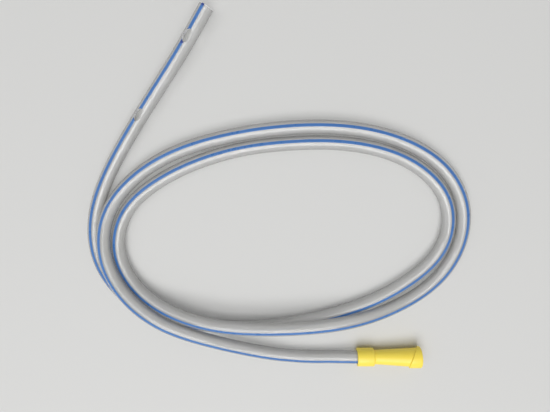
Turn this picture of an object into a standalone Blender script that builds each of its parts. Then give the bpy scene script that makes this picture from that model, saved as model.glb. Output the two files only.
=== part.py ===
"""Stomach tube: a long clear tube with a blue line in its wall and side eyes behind its open tip, and a
yellow funnel connector bonded over its other end. It lies in two loops on a flat surface at z = 0.

Run it with blender --background --python part.py. Lengths are metres, +Z is up."""

import math

import bmesh
import bpy
import numpy as np
from mathutils import Matrix, Vector

MM = 0.001

# Tube
TUBE_DIAMETER = 6.67 * MM
LUMEN_DIAMETER = 4.60 * MM
TIP_ROUNDING = 0.30 * MM
TIP_ROUNDING_STEPS = 2
STATION_SPACING = 8.0 * MM
OUTER_FLATS = 14
LUMEN_FLATS = 12

# Blue line set flush into the wall; its angle goes from level on the loop's outer side towards the top
LINE_WIDTH = 1.42 * MM
LINE_DEPTH = 0.62 * MM
LINE_ANGLE = math.radians(72)

# Side eyes, their distances measured along the tube from its tip; they alternate from one side to the other.
# The first one's angle is measured from the blue line's middle, which it cuts right through.
EYE_LENGTH = 6.2 * MM
EYE_WIDTH = 3.5 * MM
EYE_FLATS = 24
EYE_DISTANCES = (14.8 * MM, 36.5 * MM, 55.7 * MM, 74.4 * MM)
EYE_OFFSET = math.radians(9)

# Connector: a socket in a collar, a waist, and a funnel that opens to a rim. The rim's back edge is slanted.
# RIM_TURN, from level towards the top, is where that edge lies farthest along, and so the rim is shortest.
GLUE_GAP = 0.3 * MM
COLLAR_WALL = 0.96 * MM
COLLAR_LENGTH = 8.8 * MM
COLLAR_ROUNDING = 0.4 * MM
SHOULDER_ROUNDING = 0.8 * MM
SOCKET_FLOOR = 1.1 * MM
WAIST_WALL = 1.3 * MM
WAIST_LENGTH = 1.2 * MM
MOUTH_DIAMETER = 8.3 * MM
MOUTH_ROUNDING = 0.3 * MM
FUNNEL_WALL = 0.5 * MM
RIM_WALL = 1.25 * MM
RIM_LENGTH = 3.8 * MM
RIM_SLANT = 2.6 * MM
RIM_TURN = math.radians(-50)
RIM_ROUNDING = 0.5 * MM
CONNECTOR_LENGTH = 32.4 * MM
CONNECTOR_FLATS = 40
ROUNDING_STEPS = 2

TUBE_RADIUS = TUBE_DIAMETER / 2
LUMEN_RADIUS = LUMEN_DIAMETER / 2
SOCKET_RADIUS = TUBE_RADIUS + GLUE_GAP
SOCKET_DEPTH = COLLAR_LENGTH - SOCKET_FLOOR
COLLAR_RADIUS = SOCKET_RADIUS + COLLAR_WALL
WAIST_RADIUS = LUMEN_RADIUS + WAIST_WALL
MOUTH_RADIUS = MOUTH_DIAMETER / 2
FUNNEL_RADIUS = MOUTH_RADIUS + FUNNEL_WALL
RIM_RADIUS = MOUTH_RADIUS + RIM_WALL

# Where the connector's near face stands on the surface, and the way that its axis heads
CONNECTOR_PLACE = (40.9 * MM, -82.3 * MM)
CONNECTOR_HEADING = math.radians(1.1)
STRAIGHT_RUN = 4.0 * MM

# The tube's route from its tip, in millimetres: x, y and how far it is raised off the surface
ROUTE = [
    (-30.5, 85.5, 4.0),
    (-42.6, 67.3, 2.8),
    (-55.5, 49.5, 1.8),
    (-68.2, 31.6, 1.0),
    (-79.8, 13.1, 0.3),
    (-88.1, -7.2, 0.0),
    (-88.4, -28.9, 0.0),
    (-78.0, -47.9, 0.0),
    (-59.7, -59.7, 0.0),
    (-38.4, -64.9, 0.0),
    (-16.6, -66.1, 0.0),
    (5.3, -64.1, 0.0),
    (26.6, -59.1, 0.0),
    (47.2, -51.5, 0.0),
    (65.8, -40.0, 0.0),
    (79.9, -23.4, 0.0),
    (80.9, -2.0, 0.0),
    (67.4, 14.9, 0.0),
    (47.6, 24.0, 0.0),
    (25.9, 27.3, 0.0),
    (4.0, 26.9, 0.0),
    (-17.7, 24.1, 0.0),
    (-38.7, 17.9, 0.0),
    (-58.3, 8.0, 0.0),
    (-73.9, -7.1, 0.0),
    (-78.1, -28.2, 0.0),
    (-67.9, -47.0, 1.2),
    (-49.1, -57.6, 4.8),
    (-28.0, -62.8, 6.4),
    (-6.1, -63.9, 6.9),
    (15.8, -62.8, 7.1),
    (37.5, -60.0, 5.6),
    (58.3, -54.2, 1.7),
    (76.5, -42.4, 0.0),
    (87.7, -23.9, 0.0),
    (88.3, -2.2, 0.0),
    (77.0, 16.3, 0.0),
    (58.4, 27.7, 0.0),
    (37.3, 33.3, 0.0),
    (15.4, 34.6, 0.0),
    (-6.5, 33.0, 0.0),
    (-28.0, 29.1, 0.0),
    (-48.9, 22.3, 0.0),
    (-67.6, 11.0, 0.0),
    (-80.9, -5.9, 2.7),
    (-83.4, -27.3, 4.8),
    (-74.2, -46.9, 6.2),
    (-57.4, -60.8, 7.2),
    (-37.5, -69.7, 5.8),
    (-17.2, -77.2, 2.2),
    (4.1, -82.0, 0.2),
    (26.0, -82.9, 0.0),
]
CURVE_STEPS = 40

# Colour, roughness and alpha
CLEAR = ((0.74, 0.73, 0.71), 0.25, 0.55)
BLUE = ((0.05, 0.17, 0.45), 0.35, 1.0)
YELLOW = ((0.95, 0.75, 0.06), 0.40, 1.0)

UP = Vector((0, 0, 1))


def clear_scene():
    for obj in list(bpy.data.objects):
        bpy.data.objects.remove(obj)


def plastic(name, look):
    """A Principled material from (colour, roughness, alpha)."""
    colour, roughness, alpha = look
    material = bpy.data.materials.new(name)
    material.use_nodes = True
    shader = material.node_tree.nodes["Principled BSDF"]
    shader.inputs["Base Color"].default_value = (*colour, 1)
    shader.inputs["Roughness"].default_value = roughness
    shader.inputs["Metallic"].default_value = 0
    shader.inputs["Alpha"].default_value = alpha
    material.diffuse_color = (*colour, alpha)
    return material


def add_object(name, mesh_maker, material):
    """Turns a bmesh into an object whose faces all point out."""
    bmesh.ops.recalc_face_normals(mesh_maker, faces=mesh_maker.faces)
    mesh = bpy.data.meshes.new(name)
    mesh_maker.to_mesh(mesh)
    mesh_maker.free()
    obj = bpy.data.objects.new(name, mesh)
    bpy.context.scene.collection.objects.link(obj)
    if material:
        mesh.materials.append(material)
    return obj


def skin(mesh_maker, first, second):
    """Triangles between two rings with the same number of vertices."""
    for i, corner in enumerate(first):
        j = (i + 1) % len(first)
        mesh_maker.faces.new((corner, first[j], second[j]))
        mesh_maker.faces.new((corner, second[j], second[i]))


# Route of the tube


def smooth_curve(points):
    """Points close together on the natural cubic spline through the given ones."""
    points = np.array(points)
    chords = np.linalg.norm(np.diff(points, axis=0), axis=1)
    slopes = np.diff(points, axis=0) / chords[:, None]
    bends = np.zeros_like(points)
    inner = len(points) - 2
    system = np.zeros((inner, inner))
    for i in range(inner):
        system[i, i] = 2 * (chords[i] + chords[i + 1])
        if i > 0:
            system[i, i - 1] = chords[i]
        if i < inner - 1:
            system[i, i + 1] = chords[i + 1]
    bends[1:-1] = np.linalg.solve(system, 6 * np.diff(slopes, axis=0))
    share = np.arange(CURVE_STEPS)[:, None] / CURVE_STEPS
    pieces = []
    for i, chord in enumerate(chords):
        left = ((1 - share) ** 3 - (1 - share)) * bends[i]
        right = (share**3 - share) * bends[i + 1]
        straight = (1 - share) * points[i] + share * points[i + 1]
        pieces.append(straight + (left + right) * chord**2 / 6)
    return np.vstack([*pieces, points[-1:]])


def slant_at(angle):
    """How far along the rim's back edge is moved at an angle round the connector."""
    return RIM_SLANT * math.cos(angle - RIM_TURN)


def connector_frame():
    """The connector's matrix: +X is its axis, from the collar's face. Its collar and rim touch z = 0."""
    rim_heel = CONNECTOR_LENGTH - RIM_LENGTH + slant_at(-math.pi / 2)
    reach = rim_heel - COLLAR_ROUNDING
    tilt = math.atan((RIM_RADIUS - COLLAR_RADIUS) / reach)
    height = COLLAR_RADIUS * math.cos(tilt) - COLLAR_ROUNDING * math.sin(tilt)
    turn = Matrix.Rotation(CONNECTOR_HEADING, 4, "Z") @ Matrix.Rotation(-tilt, 4, "Y")
    return Matrix.Translation((*CONNECTOR_PLACE, height)) @ turn


class Station:
    """A place on the tube's centre line. Angles go from level, on the loop's outer side, towards the top."""

    def __init__(self, centre, along, surface):
        self.centre = centre
        self.along = along
        self.outward = along.cross(UP).normalized()
        self.upward = self.outward.cross(along)
        self.surface = surface

    def direction(self, angle):
        return self.outward * math.cos(angle) + self.upward * math.sin(angle)

    def point(self, angle, radius):
        return self.centre + self.direction(angle) * radius


class CentreLine:
    """The tube's centre line, measured from its tip to its seat in the connector's socket."""

    def __init__(self):
        points = [(x * MM, y * MM, rise * MM + TUBE_RADIUS) for x, y, rise in ROUTE]
        for distance in (-STRAIGHT_RUN, SOCKET_DEPTH - GLUE_GAP):
            points.append(connector_frame() @ Vector((distance, 0, 0)))
        self.points = smooth_curve(points)
        self.points[:, 2] = np.maximum(self.points[:, 2], TUBE_RADIUS)
        steps = np.linalg.norm(np.diff(self.points, axis=0), axis=1)
        self.distances = np.concatenate([[0], np.cumsum(steps)])
        self.length = self.distances[-1]

    def point(self, distance):
        return Vector([np.interp(distance, self.distances, self.points[:, axis]) for axis in range(3)])

    def station(self, distance, surface=TUBE_RADIUS):
        along = self.point(distance + MM) - self.point(distance - MM)
        return Station(self.point(distance), along.normalized(), surface)

    def stations(self):
        """Stations for the tube's rings: close together on the rounded tip, then evenly spaced."""
        made = []
        for step in range(TIP_ROUNDING_STEPS):
            angle = math.pi / 2 * step / TIP_ROUNDING_STEPS
            cutback = TIP_ROUNDING * (1 - math.sin(angle))
            made.append(self.station(TIP_ROUNDING * (1 - math.cos(angle)), TUBE_RADIUS - cutback))
        spans = round((self.length - TIP_ROUNDING) / STATION_SPACING)
        for distance in np.linspace(TIP_ROUNDING, self.length, spans + 1):
            made.append(self.station(distance))
        return made


# Tube and blue line


def line_edges():
    """The angles of the blue line's two edges."""
    half = math.asin(LINE_WIDTH / TUBE_DIAMETER)
    return LINE_ANGLE - half, LINE_ANGLE + half


def groove_outline(station):
    """The groove's four corners, from its lower edge by way of its floor to its upper edge."""
    low, high = line_edges()
    floor = station.surface - LINE_DEPTH
    return [
        station.point(low, station.surface),
        station.point(low, floor),
        station.point(high, floor),
        station.point(high, station.surface),
    ]


def tube_outline(station):
    """The outside of the tube's section: an arc with a corner at its lowest point, then the groove."""
    low, high = line_edges()
    lowest = 1.5 * math.pi
    end = 2 * math.pi + low
    first = round(OUTER_FLATS * (lowest - high) / (end - high))
    down = np.linspace(high, lowest, first + 1)[1:]
    back_up = np.linspace(lowest, end, OUTER_FLATS - first + 1)[1:-1]
    arc = [station.point(angle, station.surface) for angle in (*down, *back_up)]
    return arc + groove_outline(station)


def lumen_outline(station):
    angles = [2 * math.pi * i / LUMEN_FLATS for i in range(LUMEN_FLATS)]
    return [station.point(angle, LUMEN_RADIUS) for angle in angles]


def loft(mesh_maker, outlines):
    """Skins the outlines from first to last, and returns the first and the last ring of vertices."""
    rings = [[mesh_maker.verts.new(point) for point in outline] for outline in outlines]
    for first, second in zip(rings, rings[1:]):
        skin(mesh_maker, first, second)
    return rings[0], rings[-1]


def ring_edges(mesh_maker, ring):
    return [mesh_maker.edges.get((ring[i - 1], ring[i])) for i in range(len(ring))]


def make_tube(stations, material):
    tube = bmesh.new()
    outside = loft(tube, [tube_outline(station) for station in stations])
    lumen = loft(tube, [lumen_outline(station) for station in stations])
    for outer_ring, inner_ring in zip(outside, lumen):
        edges = ring_edges(tube, outer_ring) + ring_edges(tube, inner_ring)
        bmesh.ops.triangle_fill(tube, edges=edges, use_beauty=True)
    return add_object("tube", tube, material)


def make_line(stations, material):
    """The blue line, whose corners are the groove's own, so the two meet face to face."""
    line = bmesh.new()
    for ring in loft(line, [groove_outline(station) for station in stations]):
        line.faces.new(ring)
    return add_object("radiopaque_line", line, material)


# Side eyes


def make_eye_cutter(centre_line):
    """One mesh of oval punches, each from the middle of the tube out through one wall."""
    punches = bmesh.new()
    depth = TUBE_DIAMETER
    for i, distance in enumerate(EYE_DISTANCES):
        station = centre_line.station(distance)
        outward = station.direction(LINE_ANGLE + EYE_OFFSET + math.pi * i)
        side = outward.cross(station.along)
        axes = Matrix((station.along, side, outward)).transposed().to_4x4()
        size = Matrix.Diagonal((EYE_LENGTH / 2, EYE_WIDTH / 2, depth, 1))
        place = Matrix.Translation(station.centre + outward * depth / 2)
        bmesh.ops.create_cone(
            punches,
            cap_ends=True,
            segments=EYE_FLATS,
            radius1=1,
            radius2=1,
            depth=1,
            matrix=place @ axes @ size,
        )
    cutter = add_object("eye_cutter", punches, None)
    cutter.hide_render = True
    cutter.display_type = "WIRE"
    return cutter


def cut_eyes(obj, cutter):
    modifier = obj.modifiers.new("Eyes", "BOOLEAN")
    modifier.operation = "DIFFERENCE"
    modifier.solver = "EXACT"
    modifier.object = cutter


def islands_of(mesh_maker):
    """The sets of vertices that no edge joins to each other."""
    left = set(mesh_maker.verts)
    islands = []
    while left:
        reached = [left.pop()]
        island = set(reached)
        while reached:
            vertex = reached.pop()
            neighbours = {edge.other_vert(vertex) for edge in vertex.link_edges} & left
            left -= neighbours
            island |= neighbours
            reached.extend(neighbours)
        islands.append(island)
    return islands


def split_line(line, tip, material):
    """The eyes part the blue line into lengths. Each becomes an object, numbered from the tip."""
    whole = bpy.data.meshes.new_from_object(line.evaluated_get(bpy.context.evaluated_depsgraph_get()))
    bpy.data.objects.remove(line)
    lengths = bmesh.new()
    lengths.from_mesh(whole)
    islands = islands_of(lengths)
    islands.sort(key=lambda island: min((vertex.co - tip).length for vertex in island))
    kept = [{vertex.index for vertex in island} for island in islands]
    lengths.free()
    for number, indices in enumerate(kept, 1):
        piece = bmesh.new()
        piece.from_mesh(whole)
        spare = [vertex for vertex in piece.verts if vertex.index not in indices]
        bmesh.ops.delete(piece, geom=spare, context="VERTS")
        add_object(f"radiopaque_line_{number}", piece, material)


# Connector


def rounded_edge(along, radius, rounding, start):
    """(distance, radius, slanted) points of a quarter turn, clockwise from start in degrees."""
    points = []
    for step in range(ROUNDING_STEPS + 1):
        angle = math.radians(start - 90 * step / ROUNDING_STEPS)
        points.append((along + rounding * math.cos(angle), radius + rounding * math.sin(angle), False))
    return points


def connector_profile():
    """The section as (distance, radius, slanted) points, along the outside and back through the bore."""
    shoulder = COLLAR_LENGTH - SHOULDER_ROUNDING
    waist_end = COLLAR_LENGTH + WAIST_LENGTH
    rim_back = CONNECTOR_LENGTH - RIM_LENGTH
    rim_front = CONNECTOR_LENGTH - RIM_ROUNDING
    mouth = CONNECTOR_LENGTH - MOUTH_ROUNDING
    return [
        (0, SOCKET_RADIUS, False),
        *rounded_edge(COLLAR_ROUNDING, COLLAR_RADIUS - COLLAR_ROUNDING, COLLAR_ROUNDING, 180),
        *rounded_edge(shoulder, COLLAR_RADIUS - SHOULDER_ROUNDING, SHOULDER_ROUNDING, 90),
        (COLLAR_LENGTH, WAIST_RADIUS, False),
        (waist_end, WAIST_RADIUS, False),
        (rim_back, FUNNEL_RADIUS, True),
        (rim_back, RIM_RADIUS, True),
        *rounded_edge(rim_front, RIM_RADIUS - RIM_ROUNDING, RIM_ROUNDING, 90),
        *rounded_edge(mouth, MOUTH_RADIUS + MOUTH_ROUNDING, MOUTH_ROUNDING, 0),
        (waist_end, LUMEN_RADIUS, False),
        (SOCKET_DEPTH, LUMEN_RADIUS, False),
        (SOCKET_DEPTH, SOCKET_RADIUS, False),
    ]


def make_connector(material):
    """The profile turned about the axis, with its slanted points moved along."""
    body = bmesh.new()
    rings = []
    for along, radius, slanted in connector_profile():
        ring = []
        for i in range(CONNECTOR_FLATS):
            angle = 2 * math.pi * i / CONNECTOR_FLATS
            distance = along + slant_at(angle) if slanted else along
            place = (distance, radius * math.cos(angle), radius * math.sin(angle))
            ring.append(body.verts.new(place))
        rings.append(ring)
    for first, second in zip(rings, rings[1:] + rings[:1]):
        skin(body, first, second)
    connector = add_object("connector", body, material)
    connector.matrix_world = connector_frame()


def main():
    clear_scene()
    clear = plastic("clear_pvc", CLEAR)
    blue = plastic("radiopaque_blue", BLUE)
    yellow = plastic("yellow_plastic", YELLOW)
    centre_line = CentreLine()
    stations = centre_line.stations()
    cutter = make_eye_cutter(centre_line)
    tube = make_tube(stations, clear)
    cut_eyes(tube, cutter)
    line = make_line(stations, blue)
    cut_eyes(line, cutter)
    bpy.context.view_layer.update()
    split_line(line, stations[0].centre, blue)
    make_connector(yellow)


main()
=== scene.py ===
# %% [markdown]
# # A stomach tube, dressed for its portrait
#
# The real object is a long clear PVC tube. A blue radiopaque line is set into its wall, four side eyes are punched
# behind its open tip, and a yellow funnel connector is bonded over its other end. It lies in two loose loops.
#
# The solids come from the CAD file and are loaded here as a fixed frame. Each visible piece is then built again with
# a finer mesh and a proper material, in the place that its solid holds.

# %% Load the frame
import math

import bmesh
import bpy
import numpy as np
from mathutils import Matrix, Vector


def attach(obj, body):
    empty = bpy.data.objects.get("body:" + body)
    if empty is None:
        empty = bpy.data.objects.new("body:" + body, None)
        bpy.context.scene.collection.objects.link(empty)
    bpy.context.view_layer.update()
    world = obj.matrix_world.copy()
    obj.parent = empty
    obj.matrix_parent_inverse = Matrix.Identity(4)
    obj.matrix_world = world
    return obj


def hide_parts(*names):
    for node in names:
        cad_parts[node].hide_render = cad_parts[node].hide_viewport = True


MM = 0.001
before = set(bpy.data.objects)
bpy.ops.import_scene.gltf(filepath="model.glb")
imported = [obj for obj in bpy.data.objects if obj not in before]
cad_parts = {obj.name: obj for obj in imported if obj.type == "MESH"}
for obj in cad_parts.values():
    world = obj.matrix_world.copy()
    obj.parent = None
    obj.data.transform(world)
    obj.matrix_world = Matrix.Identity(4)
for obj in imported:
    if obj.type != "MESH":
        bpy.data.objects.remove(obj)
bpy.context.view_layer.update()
print("CAD nodes:", ", ".join(sorted(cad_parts)))

# %% [markdown]
# ## Helpers for node trees
#
# A node tree can be written in Python as well as drawn. These helpers keep it short: one adds a node and fills its
# inputs with numbers or with links from other nodes, one starts a group with named sockets, and the rest are sums.

# %% Node helpers
def add_node(tree, kind, inputs=(), **settings):
    """Adds a node. An input is given as a value, or as another node's output to link from."""
    node = tree.nodes.new(kind)
    for name, value in settings.items():
        setattr(node, name, value)
    for name, value in dict(inputs).items():
        socket = node.inputs[name]
        if isinstance(value, bpy.types.NodeSocket):
            tree.links.new(value, socket)
        else:
            socket.default_value = value
    return node


def new_group(name, kind, inputs, outputs):
    """A node group, from its sockets' names by kind: the tree, what it is given, and where its results go."""
    tree = bpy.data.node_groups.new(name, kind)
    for way, sockets in (("INPUT", inputs), ("OUTPUT", outputs)):
        for socket_kind, names in sockets.items():
            for socket_name in names:
                tree.interface.new_socket(socket_name, in_out=way, socket_type="NodeSocket" + socket_kind)
    return tree, tree.nodes.new("NodeGroupInput").outputs, tree.nodes.new("NodeGroupOutput").inputs


def maths(tree, operation, first, second=0.0):
    """A Math node's result."""
    return add_node(tree, "ShaderNodeMath", {0: first, 1: second}, operation=operation).outputs[0]


def vector_maths(tree, operation, first, second=(0, 0, 0), output="Vector"):
    """A Vector Math node's result, which is a vector or, for some operations, a value."""
    return add_node(tree, "ShaderNodeVectorMath", {0: first, 1: second}, operation=operation).outputs[output]


def scaled(tree, vector, factor):
    """A vector times a number."""
    return add_node(tree, "ShaderNodeVectorMath", {0: vector, "Scale": factor}, operation="SCALE").outputs[0]


print("node helpers ready")

# %% [markdown]
# ## The camera
#
# The photograph was taken from close above the tube, so nearer loops look larger than a long lens would show them.
# A camera that is matched to a photograph needs the same place, the same tilt and the same angle of view. Those three
# were worked out from widths and places in the picture. Blender keeps the angle as a lens length on a 36 mm sensor.

# %% Camera
SENSOR_WIDTH = 36.0
LENS = 27.49
CAMERA_PLACE = Vector((-0.00008, 0.04025, 0.20040))
CAMERA_PITCH = math.radians(-12.31)
CAMERA_ROLL = math.radians(0.39)

camera_data = bpy.data.cameras.new("camera")
camera_data.sensor_fit = "HORIZONTAL"
camera_data.sensor_width = SENSOR_WIDTH
camera_data.lens = LENS
camera_data.clip_start = 0.005
camera_data.clip_end = 20
camera = bpy.data.objects.new("camera", camera_data)
bpy.context.scene.collection.objects.link(camera)
turn = Matrix.Rotation(CAMERA_ROLL, 4, "Y") @ Matrix.Rotation(CAMERA_PITCH, 4, "X")
camera.matrix_world = Matrix.Translation(CAMERA_PLACE) @ turn
bpy.context.scene.camera = camera
print("camera height in mm:", round(CAMERA_PLACE.z / MM, 1))

# %% [markdown]
# ## Light and the surface it lies on
#
# A clear tube is seen by what it bends and reflects, so it needs large soft lamps, for long gentle highlights, and a
# plain pale surface under it. The photograph's main light comes from above and from the bottom of the picture, so each
# shadow lies just above its piece there. A round tube mirrors a lamp only where it runs square to it, and in the
# photograph the loops shine all the way round. A second lamp, long and narrow, hangs overhead for the stretches that
# the main one can't reach. The world adds an even fill.
#
# The lamps and the world together are levelled so that a colour renders about as it is written.

# %% Light and surface
LAMP_DISTANCE = 1.2
LAMP_SIZE = 0.80
LAMP_ELEVATION = math.radians(62)
LAMP_AZIMUTH = math.radians(266)
LAMP_POWER = 7.0
STRIP_PLACE = (-0.24, 0.06, 1.5)
STRIP_SIZE = (0.45, 1.7)
STRIP_POWER = 7.5
FILL_STRENGTH = 0.36
SURFACE_COLOUR = (0.64, 0.64, 0.63, 1)
SURFACE_ROUGHNESS = 0.8
SURFACE_RADIUS = 3
SURFACE_CORNERS = 96


def set_world():
    """An even pale fill, which the camera, reflections and glass see as white."""
    world = bpy.data.worlds.new("studio")
    bpy.context.scene.world = world
    world.use_nodes = True
    tree = world.node_tree
    path = tree.nodes.new("ShaderNodeLightPath").outputs
    seen = path["Is Camera Ray"]
    for ray in ("Is Glossy Ray", "Is Transmission Ray"):
        seen = maths(tree, "MAXIMUM", seen, path[ray])
    levels = {"Value": seen, "To Min": FILL_STRENGTH, "To Max": 1.0}
    strength = add_node(tree, "ShaderNodeMapRange", levels).outputs["Result"]
    background = tree.nodes["Background"]
    background.inputs["Color"].default_value = (1, 1, 1, 1)
    tree.links.new(strength, background.inputs["Strength"])


def add_lamp(name, place, power, shape, *size):
    """A soft lamp that points at the origin. A disk has one size, and a rectangle two."""
    data = bpy.data.lights.new(name, "AREA")
    data.shape = shape
    data.size, data.size_y = size[0], size[-1]
    data.energy = power
    lamp = bpy.data.objects.new(name, data)
    bpy.context.scene.collection.objects.link(lamp)
    lamp.location = place
    lamp.rotation_euler = Vector(place).to_track_quat("Z", "Y").to_euler()


def lamp_place():
    """The main lamp's place, from its distance, elevation and azimuth."""
    flat = LAMP_DISTANCE * math.cos(LAMP_ELEVATION)
    height = LAMP_DISTANCE * math.sin(LAMP_ELEVATION)
    return Vector((flat * math.cos(LAMP_AZIMUTH), flat * math.sin(LAMP_AZIMUTH), height))


def add_surface():
    """A round pale surface at z = 0. It is stage, and no part of the object."""
    maker = bmesh.new()
    bmesh.ops.create_circle(maker, cap_ends=True, segments=SURFACE_CORNERS, radius=SURFACE_RADIUS)
    mesh = bpy.data.meshes.new("surface")
    maker.to_mesh(mesh)
    maker.free()
    surface = bpy.data.objects.new("surface", mesh)
    bpy.context.scene.collection.objects.link(surface)
    material = bpy.data.materials.new("pale_surface")
    material.use_nodes = True
    shader = material.node_tree.nodes["Principled BSDF"]
    shader.inputs["Base Color"].default_value = SURFACE_COLOUR
    shader.inputs["Roughness"].default_value = SURFACE_ROUGHNESS
    mesh.materials.append(material)


set_world()
add_lamp("lamp", lamp_place(), LAMP_POWER, "DISK", LAMP_SIZE)
add_lamp("strip_lamp", STRIP_PLACE, STRIP_POWER, "RECTANGLE", *STRIP_SIZE)
add_surface()
bpy.context.scene.view_settings.view_transform = "Standard"
print("lamp at", math.degrees(LAMP_ELEVATION), "degrees above the surface")

# %% [markdown]
# ## Sizes
#
# These are the sizes of the CAD part, in metres. A finer mesh has to fill the same space as its solid, so the two
# share their numbers: the tube's diameter and bore, the line in its wall, the eyes and the connector.

# %% Sizes
TUBE_RADIUS = 6.67 * MM / 2
LUMEN_RADIUS = 4.60 * MM / 2
LINE_WIDTH = 1.42 * MM
LINE_DEPTH = 0.62 * MM
LINE_ANGLE = math.radians(72)
EYE_LENGTH = 6.2 * MM
EYE_WIDTH = 3.5 * MM
EYE_OFFSET = math.radians(9)
EYE_DISTANCES = [14.8 * MM, 36.5 * MM, 55.7 * MM, 74.4 * MM]
GLUE_GAP = 0.3 * MM
SOCKET_RADIUS = TUBE_RADIUS + GLUE_GAP
SOCKET_FLOOR = 1.1 * MM
COLLAR_WALL = 0.96 * MM
COLLAR_RADIUS = SOCKET_RADIUS + COLLAR_WALL
COLLAR_LENGTH = 8.8 * MM
COLLAR_ROUNDING = 0.4 * MM
SHOULDER_ROUNDING = 0.8 * MM
SOCKET_DEPTH = COLLAR_LENGTH - SOCKET_FLOOR
WAIST_WALL = 1.3 * MM
WAIST_RADIUS = LUMEN_RADIUS + WAIST_WALL
WAIST_LENGTH = 1.2 * MM
MOUTH_RADIUS = 8.3 * MM / 2
MOUTH_ROUNDING = 0.3 * MM
FUNNEL_WALL = 0.5 * MM
FUNNEL_RADIUS = MOUTH_RADIUS + FUNNEL_WALL
RIM_WALL = 1.25 * MM
RIM_RADIUS = MOUTH_RADIUS + RIM_WALL
RIM_ROUNDING = 0.5 * MM
RIM_LENGTH = 3.8 * MM
RIM_SLANT = 2.6 * MM
RIM_TURN = math.radians(-50)
CONNECTOR_LENGTH = 32.4 * MM
print("tube diameter in mm:", round(2 * TUBE_RADIUS / MM, 2))

# %% [markdown]
# ## Where the connector lies
#
# The connector is a loose round thing on a flat surface, so it touches it at its collar and at its rim. The rim is
# wider, so the axis leans up towards the mouth. Two lengths and two radii give that angle. The back edge of the rim is
# slanted, so how far along its lowest point is depends on the slant as well.

# %% Connector's place
CONNECTOR_PLACE = (40.9 * MM, -82.3 * MM)
CONNECTOR_HEADING = math.radians(1.1)


def slant_at(angle):
    """How far along the rim's back edge is moved at an angle round the connector."""
    return RIM_SLANT * math.cos(angle - RIM_TURN)


def connector_frame():
    """The connector's matrix: +X is its axis, from the collar's face."""
    rim_heel = CONNECTOR_LENGTH - RIM_LENGTH + slant_at(-math.pi / 2)
    reach = rim_heel - COLLAR_ROUNDING
    tilt = math.atan((RIM_RADIUS - COLLAR_RADIUS) / reach)
    height = COLLAR_RADIUS * math.cos(tilt) - COLLAR_ROUNDING * math.sin(tilt)
    heading = Matrix.Rotation(CONNECTOR_HEADING, 4, "Z") @ Matrix.Rotation(-tilt, 4, "Y")
    return Matrix.Translation((*CONNECTOR_PLACE, height)) @ heading


connector_matrix = connector_frame()
print("connector's axis is", round(connector_matrix.translation.z / MM, 2), "mm up at its collar")

# %% [markdown]
# ## The route
#
# A soft tube holds no sharp bends, so its centre line is one smooth curve. The points are the CAD part's own: x, y
# and how far the tube is raised off the surface, in metres. A natural cubic spline runs through them. It is the curve
# that a thin springy strip takes when it is pinned at those points, which is close to what the tube does.

# %% Route points
ROUTE = [
    (-0.0305, 0.0855, 0.0040),
    (-0.0426, 0.0673, 0.0028),
    (-0.0555, 0.0495, 0.0018),
    (-0.0682, 0.0316, 0.0010),
    (-0.0798, 0.0131, 0.0003),
    (-0.0881, -0.0072, 0.0),
    (-0.0884, -0.0289, 0.0),
    (-0.0780, -0.0479, 0.0),
    (-0.0597, -0.0597, 0.0),
    (-0.0384, -0.0649, 0.0),
    (-0.0166, -0.0661, 0.0),
    (0.0053, -0.0641, 0.0),
    (0.0266, -0.0591, 0.0),
    (0.0472, -0.0515, 0.0),
    (0.0658, -0.0400, 0.0),
    (0.0799, -0.0234, 0.0),
    (0.0809, -0.0020, 0.0),
    (0.0674, 0.0149, 0.0),
    (0.0476, 0.0240, 0.0),
    (0.0259, 0.0273, 0.0),
    (0.0040, 0.0269, 0.0),
    (-0.0177, 0.0241, 0.0),
    (-0.0387, 0.0179, 0.0),
    (-0.0583, 0.0080, 0.0),
    (-0.0739, -0.0071, 0.0),
    (-0.0781, -0.0282, 0.0),
    (-0.0679, -0.0470, 0.0012),
    (-0.0491, -0.0576, 0.0048),
    (-0.0280, -0.0628, 0.0064),
    (-0.0061, -0.0639, 0.0069),
    (0.0158, -0.0628, 0.0071),
    (0.0375, -0.0600, 0.0056),
    (0.0583, -0.0542, 0.0017),
    (0.0765, -0.0424, 0.0),
    (0.0877, -0.0239, 0.0),
    (0.0883, -0.0022, 0.0),
    (0.0770, 0.0163, 0.0),
    (0.0584, 0.0277, 0.0),
    (0.0373, 0.0333, 0.0),
    (0.0154, 0.0346, 0.0),
    (-0.0065, 0.0330, 0.0),
    (-0.0280, 0.0291, 0.0),
    (-0.0489, 0.0223, 0.0),
    (-0.0676, 0.0110, 0.0),
    (-0.0809, -0.0059, 0.0027),
    (-0.0834, -0.0273, 0.0048),
    (-0.0742, -0.0469, 0.0062),
    (-0.0574, -0.0608, 0.0072),
    (-0.0375, -0.0697, 0.0058),
    (-0.0172, -0.0772, 0.0022),
    (0.0041, -0.0820, 0.0002),
    (0.0260, -0.0829, 0.0),
]
STRAIGHT_RUN = 4.0 * MM
print(len(ROUTE), "route points")

# %% Smooth centre line
CURVE_STEPS = 40


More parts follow.
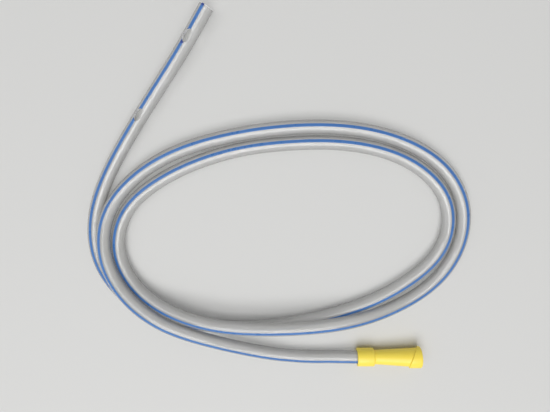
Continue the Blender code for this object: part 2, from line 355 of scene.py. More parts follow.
def smooth_curve(points):
    """Points close together on the natural cubic spline through the given ones."""
    points = np.array(points)
    chords = np.linalg.norm(np.diff(points, axis=0), axis=1)
    slopes = np.diff(points, axis=0) / chords[:, None]
    bends = np.zeros_like(points)
    inner = len(points) - 2
    system = np.zeros((inner, inner))
    for i in range(inner):
        system[i, i] = 2 * (chords[i] + chords[i + 1])
        if i > 0:
            system[i, i - 1] = chords[i]
        if i < inner - 1:
            system[i, i + 1] = chords[i + 1]
    bends[1:-1] = np.linalg.solve(system, 6 * np.diff(slopes, axis=0))
    share = np.arange(CURVE_STEPS)[:, None] / CURVE_STEPS
    pieces = []
    for i, chord in enumerate(chords):
        left = ((1 - share) ** 3 - (1 - share)) * bends[i]
        right = (share**3 - share) * bends[i + 1]
        straight = (1 - share) * points[i] + share * points[i + 1]
        pieces.append(straight + (left + right) * chord**2 / 6)
    return np.vstack([*pieces, points[-1:]])


route = [(x, y, rise + TUBE_RADIUS) for x, y, rise in ROUTE]
for distance in (-STRAIGHT_RUN, SOCKET_DEPTH - GLUE_GAP):
    route.append(connector_matrix @ Vector((distance, 0, 0)))
dense = smooth_curve(route)
dense[:, 2] = np.maximum(dense[:, 2], TUBE_RADIUS)
along = np.concatenate([[0], np.cumsum(np.linalg.norm(np.diff(dense, axis=0), axis=1))])
tube_length = along[-1]
print("tube length in mm:", round(tube_length / MM, 1))

# %% [markdown]
# ## Rings along the centre line
#
# The tube's mesh is a row of rings. They stand 1.3 mm apart, close enough for a smooth outline in the tightest bend,
# and much closer on the last half millimetre, where the tip's edge is rounded.

# %% Ring centres
RING_SPACING = 1.3 * MM
TIP_ROUNDING = 0.5 * MM
TIP_RINGS = 5

tip_turn = np.linspace(0, math.pi / 2, TIP_RINGS, endpoint=False)
near_tip = TIP_ROUNDING * (1 - np.cos(tip_turn))
rings_after = round((tube_length - TIP_ROUNDING) / RING_SPACING)
ring_distances = np.concatenate([near_tip, np.linspace(TIP_ROUNDING, tube_length, rings_after + 1)])
ring_centres = np.stack([np.interp(ring_distances, along, dense[:, axis]) for axis in range(3)], axis=1)
print(len(ring_centres), "rings")

# %% [markdown]
# ## The section: two arcs
#
# Cut across, the tube's outside is a circle with a shallow groove where the blue line sits, and the line is a small
# curved block that fills it. Both are an arc one way and an arc back at another radius. One Geometry Nodes group
# draws either: it makes points, moves each to its place on the first or the second arc, and joins them into a curve.

# %% Section group
def make_section_group():
    """A closed section of two arcs, each from its radius, its start and end angle, and its number of points."""
    inputs = {
        "Float": ("Radius 1", "Start 1", "End 1", "Radius 2", "Start 2", "End 2"),
        "Int": ("Points 1", "Points 2"),
    }
    tree, given, result = new_group("Two-arc section", "GeometryNodeTree", inputs, {"Geometry": ("Curve",)})
    index = tree.nodes.new("GeometryNodeInputIndex").outputs[0]
    angles = []
    for arc, first in (("1", 0), ("2", given["Points 1"])):
        steps = maths(tree, "SUBTRACT", given["Points " + arc], 1)
        share = maths(tree, "DIVIDE", maths(tree, "SUBTRACT", index, first), steps)
        turn = maths(tree, "SUBTRACT", given["End " + arc], given["Start " + arc])
        angles.append(maths(tree, "ADD", given["Start " + arc], maths(tree, "MULTIPLY", turn, share)))
    on_second = maths(tree, "GREATER_THAN", index, maths(tree, "SUBTRACT", given["Points 1"], 0.5))
    angle = add_node(tree, "ShaderNodeMix", {"Factor": on_second, 2: angles[0], 3: angles[1]}).outputs[0]
    radii = {"Factor": on_second, 2: given["Radius 1"], 3: given["Radius 2"]}
    radius = add_node(tree, "ShaderNodeMix", radii).outputs[0]
    level = maths(tree, "MULTIPLY", radius, maths(tree, "COSINE", angle))
    upward = maths(tree, "MULTIPLY", radius, maths(tree, "SINE", angle))
    # A section's own y points down along a curve whose normals are level.
    place = add_node(tree, "ShaderNodeCombineXYZ", {"X": level, "Y": maths(tree, "MULTIPLY", upward, -1)})
    count = maths(tree, "ADD", given["Points 1"], given["Points 2"])
    points = add_node(tree, "GeometryNodePoints", {"Count": count, "Position": place.outputs[0]})
    joined = add_node(tree, "GeometryNodePointsToCurves", {"Points": points.outputs[0]})
    closed = add_node(tree, "GeometryNodeSetSplineCyclic", {"Geometry": joined.outputs[0], "Cyclic": True})
    tree.links.new(closed.outputs[0], result["Curve"])
    return tree


section_group = make_section_group()
print("section group:", len(section_group.nodes), "nodes")

# %% [markdown]
# ## The side eyes: one punch, placed four times
#
# The eyes are oval holes that let liquid in and out. They are punched on opposite sides in turn, and the first and the
# third cut right through the blue line. A group stands one oval punch at each distance from the tip and turns it to
# point out of the wall. The copies are instances, which hold no mesh of their own, so they are realised before they
# cut.

# %% Eye directions group
EYES = [f"Eye {number + 1} from tip" for number in range(len(EYE_DISTANCES))]


def make_wall_direction_group():
    """The way out of the wall at an angle: 0 is level, on the loop's outer side, and a quarter turn is up."""
    inputs = {"Vector": ("Tangent",), "Float": ("Angle",)}
    tree, given, result = new_group("Wall direction", "GeometryNodeTree", inputs, {"Vector": ("Direction",)})
    across = vector_maths(tree, "CROSS_PRODUCT", given["Tangent"], (0, 0, 1))
    level = vector_maths(tree, "NORMALIZE", across)
    rise = vector_maths(tree, "CROSS_PRODUCT", level, given["Tangent"])
    level_part = scaled(tree, level, maths(tree, "COSINE", given["Angle"]))
    rise_part = scaled(tree, rise, maths(tree, "SINE", given["Angle"]))
    tree.links.new(vector_maths(tree, "ADD", level_part, rise_part), result["Direction"])
    return tree


wall_direction_group = make_wall_direction_group()
print("eyes at", [round(distance / MM, 1) for distance in EYE_DISTANCES], "mm from the tip")

# %% Eye punches group
PUNCH_CORNERS = 48
PUNCH_SIZES = ("Tube radius", "First eye angle", "Eye length", "Eye width")


def pick_by_index(tree, index, choices):
    """An Index Switch: the first choice for index 0, the second for 1, and so on."""
    pick = tree.nodes.new("GeometryNodeIndexSwitch")
    pick.data_type = "FLOAT"
    while len(pick.index_switch_items) < len(choices):
        pick.index_switch_items.new()
    tree.links.new(index, pick.inputs["Index"])
    for number, choice in enumerate(choices):
        tree.links.new(choice, pick.inputs[number + 1])
    return pick.outputs[0]


def make_oval_punch(tree, given):
    """An oval drum that stands on z = 0, marked on its faces as a cutter."""
    tall = maths(tree, "MULTIPLY", given["Tube radius"], 2)
    drum = add_node(tree, "GeometryNodeMeshCylinder", {"Vertices": PUNCH_CORNERS, "Radius": 0.5, "Depth": tall})
    size = {"X": given["Eye length"], "Y": given["Eye width"], "Z": 1}
    stretch = add_node(tree, "ShaderNodeCombineXYZ", size).outputs[0]
    lift = add_node(tree, "ShaderNodeCombineXYZ", {"Z": given["Tube radius"]}).outputs[0]
    moved = {"Geometry": drum.outputs[0], "Translation": lift, "Scale": stretch}
    oval = add_node(tree, "GeometryNodeTransform", moved)
    mark = {"Geometry": oval.outputs[0], "Name": "punched", "Value": True}
    marked = add_node(tree, "GeometryNodeStoreNamedAttribute", mark, data_type="BOOLEAN", domain="FACE")
    return marked.outputs[0]


def make_punch_group():
    """One oval punch for each eye, on opposite sides of the tube in turn."""
    inputs = {"Geometry": ("Centre line",), "Float": (*PUNCH_SIZES, *EYES)}
    tree, given, result = new_group("Eye punches", "GeometryNodeTree", inputs, {"Geometry": ("Punches",)})
    index = tree.nodes.new("GeometryNodeInputIndex").outputs[0]
    distance = pick_by_index(tree, index, [given[name] for name in EYES])
    places = {"Curves": given["Centre line"], "Length": distance}
    place = add_node(tree, "GeometryNodeSampleCurve", places, mode="LENGTH").outputs
    angle = maths(tree, "ADD", given["First eye angle"], maths(tree, "MULTIPLY", index, math.pi))
    facts = {"Tangent": place["Tangent"], "Angle": angle}
    outward = add_node(tree, "GeometryNodeGroup", facts, node_tree=wall_direction_group).outputs[0]
    axes = {"Primary Axis": outward, "Secondary Axis": place["Tangent"]}
    aim = add_node(tree, "FunctionNodeAxesToRotation", axes).outputs[0]
    points = add_node(tree, "GeometryNodePoints", {"Count": len(EYES), "Position": place["Position"]})
    copies = {"Points": points.outputs[0], "Instance": make_oval_punch(tree, given), "Rotation": aim}
    stood = add_node(tree, "GeometryNodeInstanceOnPoints", copies)
    real = add_node(tree, "GeometryNodeRealizeInstances", {"Geometry": stood.outputs[0]})
    tree.links.new(real.outputs[0], result["Punches"])
    return tree


punch_group = make_punch_group()
print("punch group:", len(punch_group.nodes), "nodes")

# %% [markdown]
# ## Sweeping a section along the centre line
#
# The tube's outside, its bore and the blue line are all one section swept along one curve. The curve's normals are
# kept level, so a section stays upright all the way and the line keeps its place beside the top of the tube. At the
# tip the section is drawn in, so that its edge is a quarter round. Without a rounding it keeps its size.

# %% Sweep group
def quarter_round(tree, length, rounding):
    """How far a quarter-round edge draws in, that distance along the curve."""
    left = maths(tree, "SUBTRACT", 1, maths(tree, "DIVIDE", length, rounding))
    inside = maths(tree, "MINIMUM", maths(tree, "MAXIMUM", left, 0), 1)
    height = maths(tree, "SQRT", maths(tree, "SUBTRACT", 1, maths(tree, "MULTIPLY", inside, inside)))
    return maths(tree, "MULTIPLY", maths(tree, "SUBTRACT", 1, height), rounding)


def make_sweep_group():
    """Sweeps a section of that radius, with a rounded edge at the tip."""
    inputs = {"Geometry": ("Centre line", "Section"), "Float": ("Radius", "Edge rounding")}
    tree, given, result = new_group("Swept section", "GeometryNodeTree", inputs, {"Geometry": ("Mesh",)})
    upright = add_node(tree, "GeometryNodeSetCurveNormal", {"Curve": given["Centre line"]}, mode="Z_UP")
    length = tree.nodes.new("GeometryNodeSplineParameter").outputs["Length"]
    share = maths(tree, "DIVIDE", quarter_round(tree, length, given["Edge rounding"]), given["Radius"])
    sweep = {
        "Curve": upright.outputs[0],
        "Profile Curve": given["Section"],
        "Scale": maths(tree, "SUBTRACT", 1, share),
        "Fill Caps": True,
    }
    swept = add_node(tree, "GeometryNodeCurveToMesh", sweep)
    tree.links.new(swept.outputs[0], result["Mesh"])
    return tree


sweep_group = make_sweep_group()
print("sweep group:", len(sweep_group.nodes), "nodes")

# %% [markdown]
# ## The clear tube: sweep, bore, punch
#
# The tube is made the way that a maker does it: the outside is drawn, the bore is opened, and the eyes are punched.
# One Boolean cuts the bore and the eyes together. A curve's own bevel would be quicker, but it gives a solid rod, and
# a real bore is what makes clear plastic look right: light bends at four surfaces instead of two.

# %% Tube tree
GROOVE_POINTS = 7
OUTSIDE_POINTS = 41
BORE_POINTS = 32
OVERRUN = 2.0 * MM
SHARP_ANGLE = math.radians(38)
TIP_CUT = 0.35 * MM


def section_of(tree, radii, starts, ends, counts):
    """The two-arc section, from its first and second arc's radius, angles and number of points."""
    values = {}
    for arc in (0, 1):
        values[f"Radius {arc + 1}"] = radii[arc]
        values[f"Start {arc + 1}"] = starts[arc]
        values[f"End {arc + 1}"] = ends[arc]
        values[f"Points {arc + 1}"] = counts[arc]
    return add_node(tree, "GeometryNodeGroup", values, node_tree=section_group).outputs[0]


def past_both_ends(tree, curve):
    """The curve with its two end points pushed outwards, so that a cutter reaches through."""
    ends = add_node(tree, "GeometryNodeCurveEndpointSelection", {"Start Size": 1, "End Size": 1})
    factor = tree.nodes.new("GeometryNodeSplineParameter").outputs["Factor"]
    side = maths(tree, "SUBTRACT", maths(tree, "MULTIPLY", factor, 2), 1)
    tangent = tree.nodes.new("GeometryNodeInputTangent").outputs[0]
    push = scaled(tree, tangent, maths(tree, "MULTIPLY", side, OVERRUN))
    moved = {"Geometry": curve, "Selection": ends.outputs[0], "Offset": push}
    return add_node(tree, "GeometryNodeSetPosition", moved).outputs[0]


def at_the_tip(tree, given):
    """Whether a face lies on the rounded end of the tube."""
    first = {"Curves": given["Centre line"], "Length": 0.0}
    tip = add_node(tree, "GeometryNodeSampleCurve", first, mode="LENGTH").outputs
    place = tree.nodes.new("GeometryNodeInputPosition").outputs[0]
    from_tip = vector_maths(tree, "SUBTRACT", place, tip["Position"])
    ahead = vector_maths(tree, "DOT_PRODUCT", from_tip, tip["Tangent"], output="Value")
    reach = vector_maths(tree, "LENGTH", from_tip, output="Value")
    close = maths(tree, "LESS_THAN", reach, maths(tree, "MULTIPLY", given["Tube radius"], 2))
    return maths(tree, "MULTIPLY", close, maths(tree, "LESS_THAN", ahead, TIP_CUT))


def finished(tree, geometry, given):
    """Realised, smooth but for the sharp edges, and with one material for the wall and one for what was cut."""
    real = add_node(tree, "GeometryNodeRealizeInstances", {"Geometry": geometry}).outputs[0]
    smooth = add_node(tree, "GeometryNodeSetShadeSmooth", {"Geometry": real, "Shade Smooth": True}).outputs[0]
    bend = tree.nodes.new("GeometryNodeInputMeshEdgeAngle").outputs["Unsigned Angle"]
    sharp = maths(tree, "GREATER_THAN", bend, SHARP_ANGLE)
    edges = {"Geometry": smooth, "Selection": sharp, "Shade Smooth": False}
    creased = add_node(tree, "GeometryNodeSetShadeSmooth", edges, domain="EDGE").outputs[0]
    coloured = {"Geometry": creased, "Material": given["Wall"]}
    body = add_node(tree, "GeometryNodeSetMaterial", coloured).outputs[0]
    punched = add_node(tree, "GeometryNodeInputNamedAttribute", {"Name": "punched"}, data_type="BOOLEAN")
    was_cut = maths(tree, "MAXIMUM", punched.outputs["Attribute"], at_the_tip(tree, given))
    cut = {"Geometry": body, "Selection": was_cut, "Material": given["Cut face"]}
    return add_node(tree, "GeometryNodeSetMaterial", cut).outputs[0]


def new_piece_tree(name, *extra):
    """An empty tree with the inputs that the tube and its line share, and any extra sizes."""
    sizes = (*PUNCH_SIZES, "Line width", "Line depth", "Line angle", "Tip rounding")
    inputs = {"Geometry": ("Centre line",), "Float": (*sizes, *EYES, *extra), "Material": ("Wall", "Cut face")}
    return new_group(name, "GeometryNodeTree", inputs, {"Geometry": ("Piece",)})


def line_angles(tree, given):
    """The angles of the blue line's two edges."""
    across = maths(tree, "DIVIDE", given["Line width"], maths(tree, "MULTIPLY", given["Tube radius"], 2))
    half = maths(tree, "ARCSINE", across)
    return maths(tree, "SUBTRACT", given["Line angle"], half), maths(tree, "ADD", given["Line angle"], half)


def swept(tree, line, section, radius, rounding):
    """The section swept along the line."""
    values = {"Centre line": line, "Section": section, "Radius": radius, "Edge rounding": rounding}
    return add_node(tree, "GeometryNodeGroup", values, node_tree=sweep_group).outputs[0]


def punches_for(tree, given):
    """The four punches, from a piece tree's own inputs."""
    values = {name: given[name] for name in ("Centre line", *PUNCH_SIZES, *EYES)}
    return add_node(tree, "GeometryNodeGroup", values, node_tree=punch_group).outputs[0]


def cut_from(tree, body, *cutters):
    """The body without what the cutters hold."""
    cut = add_node(tree, "GeometryNodeMeshBoolean", operation="DIFFERENCE", solver="MANIFOLD")
    tree.links.new(body, cut.inputs["Mesh 1"])
    for cutter in cutters:
        tree.links.new(cutter, cut.inputs["Mesh 2"])
    return cut.outputs[0]


def make_tube_tree():
    """The tube: its outside is drawn, its bore opened and its eyes punched."""
    tree, given, result = new_piece_tree("Clear tube", "Lumen radius")
    low, high = line_angles(tree, given)
    floor = maths(tree, "SUBTRACT", given["Tube radius"], given["Line depth"])
    round_again = maths(tree, "ADD", low, 2 * math.pi)
    section = section_of(
        tree, (given["Tube radius"], floor), (high, low), (round_again, high), (OUTSIDE_POINTS, GROOVE_POINTS)
    )
    outside = swept(tree, given["Centre line"], section, given["Tube radius"], given["Tip rounding"])
    out_facing = add_node(tree, "GeometryNodeFlipFaces", {"Mesh": outside}).outputs[0]
    ring = {"Resolution": BORE_POINTS, "Radius": given["Lumen radius"]}
    circle = add_node(tree, "GeometryNodeCurvePrimitiveCircle", ring).outputs[0]
    through = past_both_ends(tree, given["Centre line"])
    bore = swept(tree, through, circle, given["Lumen radius"], 0)
    opened = cut_from(tree, out_facing, bore, punches_for(tree, given))
    tree.links.new(finished(tree, opened, given), result["Piece"])
    return tree


tube_tree = make_tube_tree()
print("tube tree:", len(tube_tree.nodes), "nodes")

# %% [markdown]
# ## The blue line
#
# The line is a strip of opaque blue plastic that shows on an X-ray. It fills the groove in the wall and is flush with
# the outside. It goes a hair deeper than the groove, so that light inside the clear wall meets blue and not a film of
# air. At the tip it is drawn in with the tube's rounded edge. The eyes cut it too, which leaves three lengths.

# %% Line tree
LINE_BITE = 0.01 * MM


def make_line_tree():
    """The strip that fills the groove, parted by the eyes."""
    tree, given, result = new_piece_tree("Blue line")
    low, high = line_angles(tree, given)
    slip = maths(tree, "DIVIDE", LINE_BITE, given["Tube radius"])
    low = maths(tree, "SUBTRACT", low, slip)
    high = maths(tree, "ADD", high, slip)
    floor = maths(tree, "SUBTRACT", given["Tube radius"], maths(tree, "ADD", given["Line depth"], LINE_BITE))
    section = section_of(
        tree, (given["Tube radius"], floor), (low, high), (high, low), (GROOVE_POINTS, GROOVE_POINTS)
    )
    strip = swept(tree, given["Centre line"], section, given["Tube radius"], given["Tip rounding"])
    out_facing = add_node(tree, "GeometryNodeFlipFaces", {"Mesh": strip}).outputs[0]
    parted = cut_from(tree, out_facing, punches_for(tree, given))
    tree.links.new(finished(tree, parted, given), result["Piece"])
    return tree


line_tree = make_line_tree()
print("line tree:", len(line_tree.nodes), "nodes")

# %% [markdown]
# ## Shared surface effects
#
# Soft plastic that has been handled is never one flat colour. Two effects come back in every finish here, so each is
# a shader node group with its own inputs: a slow cloudiness in the colour, and a fine handled texture that changes
# the gloss and the bump. A third one masks what is near a place. Each material places the groups with its own values.
# All of them read Object coordinates.

# %% Effect groups
CLOUD_RANGE = (0.35, 0.65)
PATCH_RANGE = (0.35, 0.7)
GRAIN_SHARE = 0.3
FADE_START = 0.6


def object_coordinates(tree):
    """Where the shaded point is on its piece, in metres."""
    return tree.nodes.new("ShaderNodeTexCoord").outputs["Object"]


def noise(tree, scale, detail, roughness=0.5):
    """A noise pattern on Object coordinates, from about 0 to 1."""
    values = {"Vector": object_coordinates(tree), "Scale": scale, "Detail": detail, "Roughness": roughness}
    return add_node(tree, "ShaderNodeTexNoise", values).outputs[0]


def map_range(tree, value, low, high, new_low, new_high):
    """The value, moved from one range to another and kept inside it."""
    values = {"Value": value, "From Min": low, "From Max": high, "To Min": new_low, "To Max": new_high}
    return add_node(tree, "ShaderNodeMapRange", values).outputs["Result"]


def make_cloudy_group():
    """A colour that drifts slowly between two tones."""
    inputs = {"Color": ("Tone", "Other tone"), "Float": ("Clouds",)}
    tree, given, result = new_group("Cloudy colour", "ShaderNodeTree", inputs, {"Color": ("Color",)})
    drift = map_range(tree, noise(tree, given["Clouds"], detail=3), *CLOUD_RANGE, 0, 1)
    blend = add_node(tree, "ShaderNodeMix", {"Factor": drift}, data_type="RGBA")
    tree.links.new(given["Tone"], blend.inputs["A"])
    tree.links.new(given["Other tone"], blend.inputs["B"])
    tree.links.new(blend.outputs["Result"], result["Color"])
    return tree


def make_handled_group():
    """Roughness between two values, and a fine height for a Bump node."""
    inputs = {"Float": ("Glossiest", "Dullest", "Patches", "Grain")}
    outputs = {"Float": ("Roughness", "Height")}
    tree, given, result = new_group("Handled surface", "ShaderNodeTree", inputs, outputs)
    patches = noise(tree, given["Patches"], detail=4, roughness=0.6)
    dull = map_range(tree, patches, *PATCH_RANGE, given["Glossiest"], given["Dullest"])
    tree.links.new(dull, result["Roughness"])
    grain = maths(tree, "MULTIPLY", noise(tree, given["Grain"], detail=2), GRAIN_SHARE)
    tree.links.new(maths(tree, "ADD", patches, grain), result["Height"])
    return tree


def make_near_group():
    """A mask that is 1 at a place on the piece and fades to 0 at that reach from it."""
    inputs = {"Vector": ("Place",), "Float": ("Reach",)}
    tree, given, result = new_group("Near a place", "ShaderNodeTree", inputs, {"Float": ("Mask",)})
    apart = vector_maths(tree, "DISTANCE", object_coordinates(tree), given["Place"], output="Value")
    share = maths(tree, "DIVIDE", apart, given["Reach"])
    tree.links.new(map_range(tree, share, FADE_START, 1.0, 1.0, 0.0), result["Mask"])
    return tree


cloudy_group = make_cloudy_group()
handled_group = make_handled_group()
near_group = make_near_group()
print("effect groups:", ", ".join(group.name for group in (cloudy_group, handled_group, near_group)))

# %% [markdown]
# ## Finishes
#
# The tube's PVC is clear with a little milk in it: light goes through, but the wall also scatters some of it, which is
# why the tube looks pale against the dark and never quite vanishes. A transmission between 0 and 1 gives that mix. The
# wall also takes a little of the light for each millimetre of the way through it. That way is longest at the tube's
# sides, so they show darker and the tube keeps its outline on a pale surface. Its gloss is high: a rough clear surface
# would look frosted, and it renders with grain.
#
# The punched edges are rougher and whiter. The line is opaque blue and a little duller than the wall around it. Its cut
# faces, and its outer face near the tip and the first eye, are painted a darker blue as painted shade. The connector is
# a warm yellow moulded plastic.
#
# Each finish gives its roughness from and to, the scales of its dull patches and of its grain, and its bump's strength.

# %% Materials
CLEAR_TONES = ((0.88, 0.88, 0.87, 1), (0.84, 0.84, 0.82, 1))
CUT_TONES = ((0.95, 0.95, 0.96, 1), (0.92, 0.92, 0.93, 1))
BLUE_TONES = ((0.040, 0.150, 0.420, 1), (0.050, 0.175, 0.470, 1))
# Painted shade: a darker blue for the line's cut faces and for its outer face near its cut ends.
BLUE_PAINTED_SHADE_TONES = ((0.018, 0.050, 0.260, 1), (0.022, 0.060, 0.290, 1))
YELLOW_TONES = ((1.0, 0.80, 0.10, 1), (0.99, 0.77, 0.085, 1))
CLOUD_SCALE = 60
BUMP_HEIGHT = 0.05 * MM
LAMP_SHARE_THROUGH = 0.86
WALL_TINT = (0.62, 0.62, 0.63, 1)
WALL_DENSITY = 650
PAINTED_SHADE_REACH = 1.3 * MM


def make_finish(name, tones, roughness, patches, grain, bump, constants):
    """A plastic: cloudy colour, handled roughness and bump, and constants set on the shader's own sockets."""
    material = bpy.data.materials.new(name)
    material.use_nodes = True
    tree = material.node_tree
    shader = tree.nodes["Principled BSDF"]
    colour = {"Tone": tones[0], "Other tone": tones[1], "Clouds": CLOUD_SCALE}
    cloudy = add_node(tree, "ShaderNodeGroup", colour, node_tree=cloudy_group)
    surface = {"Glossiest": roughness[0], "Dullest": roughness[1], "Patches": patches, "Grain": grain}
    handled = add_node(tree, "ShaderNodeGroup", surface, node_tree=handled_group)
    relief = {"Height": handled.outputs["Height"], "Strength": bump, "Distance": BUMP_HEIGHT}
    bumped = add_node(tree, "ShaderNodeBump", relief)
    tree.links.new(cloudy.outputs["Color"], shader.inputs["Base Color"])
    tree.links.new(handled.outputs["Roughness"], shader.inputs["Roughness"])
    tree.links.new(bumped.outputs["Normal"], shader.inputs["Normal"])
    for socket, value in constants.items():
        shader.inputs[socket].default_value = value
    return material


def let_lamps_through(material):
    """Lets most of the lamp's light straight through, as thin clear plastic does, and so keeps its shadow pale."""
    tree = material.node_tree
    surface = tree.nodes["Material Output"].inputs["Surface"]
    shader = surface.links[0].from_socket
    lamp_ray = tree.nodes.new("ShaderNodeLightPath").outputs["Is Shadow Ray"]
    share = maths(tree, "MULTIPLY", lamp_ray, LAMP_SHARE_THROUGH)
    clear = tree.nodes.new("ShaderNodeBsdfTransparent").outputs[0]
    mixed = add_node(tree, "ShaderNodeMixShader", {0: share, 1: shader, 2: clear})
    tree.links.new(mixed.outputs[0], surface)


def dim_inside(material):
    """Takes a share of the light for each millimetre of wall, so that a long way through it shows darker."""
    tree = material.node_tree
    wall = tree.nodes.new("ShaderNodeVolumeAbsorption")
    wall.inputs["Color"].default_value = WALL_TINT
    wall.inputs["Density"].default_value = WALL_DENSITY
    tree.links.new(wall.outputs["Volume"], tree.nodes["Material Output"].inputs["Volume"])


def wall_place(distance):
    """The place on the line's outer face, that far from the tip."""
    here = Vector([np.interp(distance, along, dense[:, axis]) for axis in range(3)])
    next_one = Vector([np.interp(distance + MM, along, dense[:, axis]) for axis in range(3)])
    tangent = (next_one - here).normalized()
    level = tangent.cross(Vector((0, 0, 1))).normalized()
    outward = level * math.cos(LINE_ANGLE) + level.cross(tangent) * math.sin(LINE_ANGLE)
    return here + outward * TUBE_RADIUS


def paint_shade_near_ends(material, places):
    """Paints shade on the line round the given places: a darker blue near its cut ends."""
    tree = material.node_tree
    colour = tree.nodes["Principled BSDF"].inputs["Base Color"]
    tone = colour.links[0].from_socket
    for place in places:
        near = {"Place": place, "Reach": PAINTED_SHADE_REACH}
        mask = add_node(tree, "ShaderNodeGroup", near, node_tree=near_group).outputs["Mask"]
        blend = add_node(tree, "ShaderNodeMix", {"Factor": mask}, data_type="RGBA")
        tree.links.new(tone, blend.inputs["A"])
        blend.inputs["B"].default_value = BLUE_PAINTED_SHADE_TONES[0]
        tone = blend.outputs["Result"]
    tree.links.new(tone, colour)


clear_pvc = make_finish(
    "clear_pvc",
    CLEAR_TONES,
    roughness=(0.09, 0.14),
    patches=220,
    grain=2600,
    bump=0.04,
    constants={"Transmission Weight": 0.68, "IOR": 1.5},
)
let_lamps_through(clear_pvc)
dim_inside(clear_pvc)
punched_pvc = make_finish(
    "punched_pvc",
    CUT_TONES,
    roughness=(0.45, 0.60),
    patches=700,
    grain=3600,
    bump=0.6,
    constants={"Transmission Weight": 0.0, "IOR": 1.5},
)
let_lamps_through(punched_pvc)
radiopaque_blue = make_finish(
    "radiopaque_blue",
    BLUE_TONES,
    roughness=(0.26, 0.38),
    patches=260,
    grain=2600,
    bump=0.20,
    constants={"IOR": 1.5},
)
# Painted shade: the line's outer face turns a darker blue round the tip and past the first eye.
paint_shade_near_ends(radiopaque_blue, (wall_place(0.0), wall_place(EYE_DISTANCES[0] + EYE_LENGTH / 2)))
# The line's cut faces are painted a darker blue: painted shade, not a different plastic.
painted_shade_blue = make_finish(
    "painted_shade_blue",
    BLUE_PAINTED_SHADE_TONES,
    roughness=(0.45, 0.60),
    patches=700,
    grain=3600,
    bump=0.4,
    constants={"IOR": 1.5},
)
yellow_plastic = make_finish(
    "yellow_plastic",
    YELLOW_TONES,
    roughness=(0.30, 0.42),
    patches=160,
    grain=1800,
    bump=0.25,
    constants={"IOR": 1.49},
)
finishes = (clear_pvc, punched_pvc, radiopaque_blue, painted_shade_blue, yellow_plastic)
print("finishes:", ", ".join(finish.name for finish in finishes))

# %% [markdown]
# ## From tree to plain mesh
#
# A Geometry Nodes modifier keeps making its mesh for as long as it is there. The finished pieces should be plain
# meshes, so each tree gets a carrier curve, its inputs are set by their identifiers, the result is copied out of the
# evaluated object, and the carrier is deleted.

# %% Build the tube and the line
SHARED_SIZES = {
    "Tube radius": TUBE_RADIUS,
    "Line width": LINE_WIDTH,
    "Line depth": LINE_DEPTH,
    "Line angle": LINE_ANGLE,
    "First eye angle": LINE_ANGLE + EYE_OFFSET,
    "Eye length": EYE_LENGTH,
    "Eye width": EYE_WIDTH,
    "Tip rounding": TIP_ROUNDING,
    **dict(zip(EYES, EYE_DISTANCES)),
}


def make_carrier():
    """A curve object with the ring centres as its one open spline."""
    data = bpy.data.curves.new("centre_line", "CURVE")
    data.dimensions = "3D"
    spline = data.splines.new("POLY")
    spline.points.add(len(ring_centres) - 1)
    for point, place in zip(spline.points, ring_centres):
        point.co = (*place, 1)
    carrier = bpy.data.objects.new("centre_line", data)
    bpy.context.scene.collection.objects.link(carrier)
    return carrier


def grown_mesh(tree, values):
    """The mesh that the tree makes from those inputs, with its materials."""
    carrier = make_carrier()
    modifier = carrier.modifiers.new(tree.name, "NODES")
    modifier.node_group = tree
    for item in tree.interface.items_tree:
        if item.in_out == "INPUT" and item.name in values:
            modifier[item.identifier] = values[item.name]
    evaluated = carrier.evaluated_get(bpy.context.evaluated_depsgraph_get())
    mesh = bpy.data.meshes.new_from_object(evaluated)
    bpy.data.objects.remove(carrier)
    return mesh


def add_piece(name, mesh, slot, *nodes):
    """A finished piece at the origin: it rides on the one body and stands for its CAD nodes."""
    mesh.name = name
    piece = bpy.data.objects.new(name, mesh)
    bpy.context.scene.collection.objects.link(piece)
    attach(piece, "root")
    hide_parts(*nodes)
    return piece


tube_values = {**SHARED_SIZES, "Lumen radius": LUMEN_RADIUS, "Wall": clear_pvc, "Cut face": punched_pvc}
tube = add_piece("clear_tube", grown_mesh(tube_tree, tube_values), "clear_pvc", "tube")
print("clear tube:", len(tube.data.polygons), "faces")

# %% [markdown]
# The eyes part the blue line into three lengths. Each is a piece of its own, as it is in the CAD part, so the mesh is
# split into what hangs together, and the lengths are numbered from the tip.

# %% Line lengths
def loose_parts(mesh):
    """For each part that hangs together, the set of its vertices' indices."""
    links = [[] for _ in mesh.vertices]
    for edge in mesh.edges:
        first, second = edge.vertices
        links[first].append(second)
        links[second].append(first)
    unseen = set(range(len(mesh.vertices)))
    parts = []
    while unseen:
        waiting = [unseen.pop()]
        part = set(waiting)
        while waiting:
            for other in links[waiting.pop()]:
                if other in unseen:
                    unseen.remove(other)
                    part.add(other)
                    waiting.append(other)
        parts.append(part)
    return parts


def only_part(mesh, indices):
    """A copy of the mesh with only those vertices."""
    kept = mesh.copy()
    maker = bmesh.new()
    maker.from_mesh(kept)
    spare = [vertex for vertex in maker.verts if vertex.index not in indices]
    bmesh.ops.delete(maker, geom=spare, context="VERTS")
    maker.to_mesh(kept)
    maker.free()
    return kept


line_values = {**SHARED_SIZES, "Wall": radiopaque_blue, "Cut face": painted_shade_blue}
whole_line = grown_mesh(line_tree, line_values)
tip = Vector(ring_centres[0])
parts = loose_parts(whole_line)
parts.sort(key=lambda part: min((whole_line.vertices[index].co - tip).length for index in part))
for number, part in enumerate(parts, 1):
    name = f"blue_line_{number}"
    mesh = only_part(whole_line, part)
    add_piece(name, mesh, "radiopaque_blue", f"radiopaque_line_{number}")

# %% [markdown]
# ## The funnel connector
#
# The connector is one moulded part, turned about one axis: a collar over the tube, a short waist, a funnel and a rim.
# A Screw modifier could turn its section, but the back edge of the rim is cut at a slant, so each ring is placed in
# code: a slanted point moves away from the collar on one side and towards it on the other. Every outer edge is a
# quarter round, because a mould leaves no sharp ones.

# %% Connector
WAIST_FILLET = COLLAR_RADIUS - SHOULDER_ROUNDING - WAIST_RADIUS
RIM_BACK_ROUNDING = 0.25 * MM
RIM_FILLET = 0.4 * MM
ROUND_STEPS = 6
CONNECTOR_CORNERS = 96


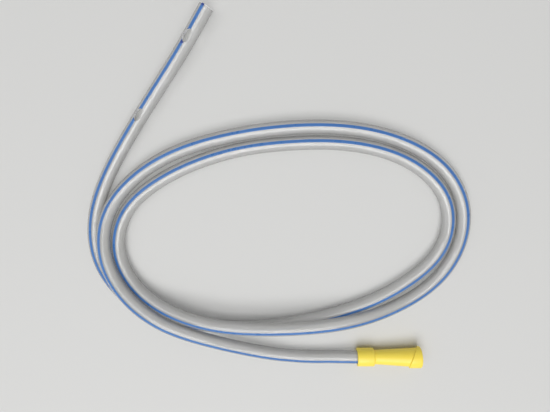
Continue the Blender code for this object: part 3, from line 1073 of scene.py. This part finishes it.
def quarter_turn(along, radius, rounding, start, slanted=False, way=-1):
    """(distance, radius, slanted) points of a quarter round about its centre, from start in degrees."""
    points = []
    for step in range(ROUND_STEPS + 1):
        angle = math.radians(start + way * 90 * step / ROUND_STEPS)
        points.append((along + rounding * math.cos(angle), radius + rounding * math.sin(angle), slanted))
    return points


def connector_section():
    """The section along the outside, from the collar's face to the mouth, and back through the bore."""
    shoulder = COLLAR_LENGTH - SHOULDER_ROUNDING
    waist_end = COLLAR_LENGTH + WAIST_LENGTH
    rim_back = CONNECTOR_LENGTH - RIM_LENGTH
    rim_front = CONNECTOR_LENGTH - RIM_ROUNDING
    mouth = CONNECTOR_LENGTH - MOUTH_ROUNDING
    fillet = (COLLAR_LENGTH + WAIST_FILLET, WAIST_RADIUS + WAIST_FILLET, WAIST_FILLET, 180, False, 1)
    rim_foot = (rim_back - RIM_FILLET, FUNNEL_RADIUS + RIM_FILLET, RIM_FILLET, 270, True, 1)
    rim_heel = (rim_back + RIM_BACK_ROUNDING, RIM_RADIUS - RIM_BACK_ROUNDING, RIM_BACK_ROUNDING, 180, True)
    return [
        (0, SOCKET_RADIUS, False),
        *quarter_turn(COLLAR_ROUNDING, COLLAR_RADIUS - COLLAR_ROUNDING, COLLAR_ROUNDING, 180),
        *quarter_turn(shoulder, COLLAR_RADIUS - SHOULDER_ROUNDING, SHOULDER_ROUNDING, 90),
        *quarter_turn(*fillet),
        (waist_end, WAIST_RADIUS, False),
        *quarter_turn(*rim_foot),
        *quarter_turn(*rim_heel),
        *quarter_turn(rim_front, RIM_RADIUS - RIM_ROUNDING, RIM_ROUNDING, 90),
        *quarter_turn(mouth, MOUTH_RADIUS + MOUTH_ROUNDING, MOUTH_ROUNDING, 0),
        (waist_end, LUMEN_RADIUS, False),
        (SOCKET_DEPTH, LUMEN_RADIUS, False),
        (SOCKET_DEPTH, SOCKET_RADIUS, False),
    ]


def make_connector():
    """The connector's mesh: its section's points, each turned into a ring, and the rings joined by faces."""
    maker = bmesh.new()
    rings = []
    for distance, radius, slanted in connector_section():
        ring = []
        for corner in range(CONNECTOR_CORNERS):
            angle = 2 * math.pi * corner / CONNECTOR_CORNERS
            reached = distance + slant_at(angle) if slanted else distance
            place = (reached, radius * math.cos(angle), radius * math.sin(angle))
            ring.append(maker.verts.new(place))
        rings.append(ring)
    for first, second in zip(rings, rings[1:] + rings[:1]):
        for i, corner in enumerate(first):
            j = (i + 1) % CONNECTOR_CORNERS
            maker.faces.new((corner, first[j], second[j], second[i]))
    bmesh.ops.recalc_face_normals(maker, faces=maker.faces)
    maker.transform(connector_matrix)
    for face in maker.faces:
        face.smooth = True
    for edge in maker.edges:
        edge.smooth = edge.calc_face_angle(0) < SHARP_ANGLE
    mesh = bpy.data.meshes.new("connector")
    maker.to_mesh(mesh)
    maker.free()
    mesh.materials.append(yellow_plastic)
    return mesh


connector = add_piece("funnel_connector", make_connector(), "yellow_plastic", "connector")
print("connector:", len(connector.data.polygons), "faces")

# %% [markdown]
#
# The tube is a fixed length of something soft that lies under its own weight, and its far end is its own open tip.
# Last, the scene is brought up to date.

# %% Finish
bpy.context.view_layer.update()
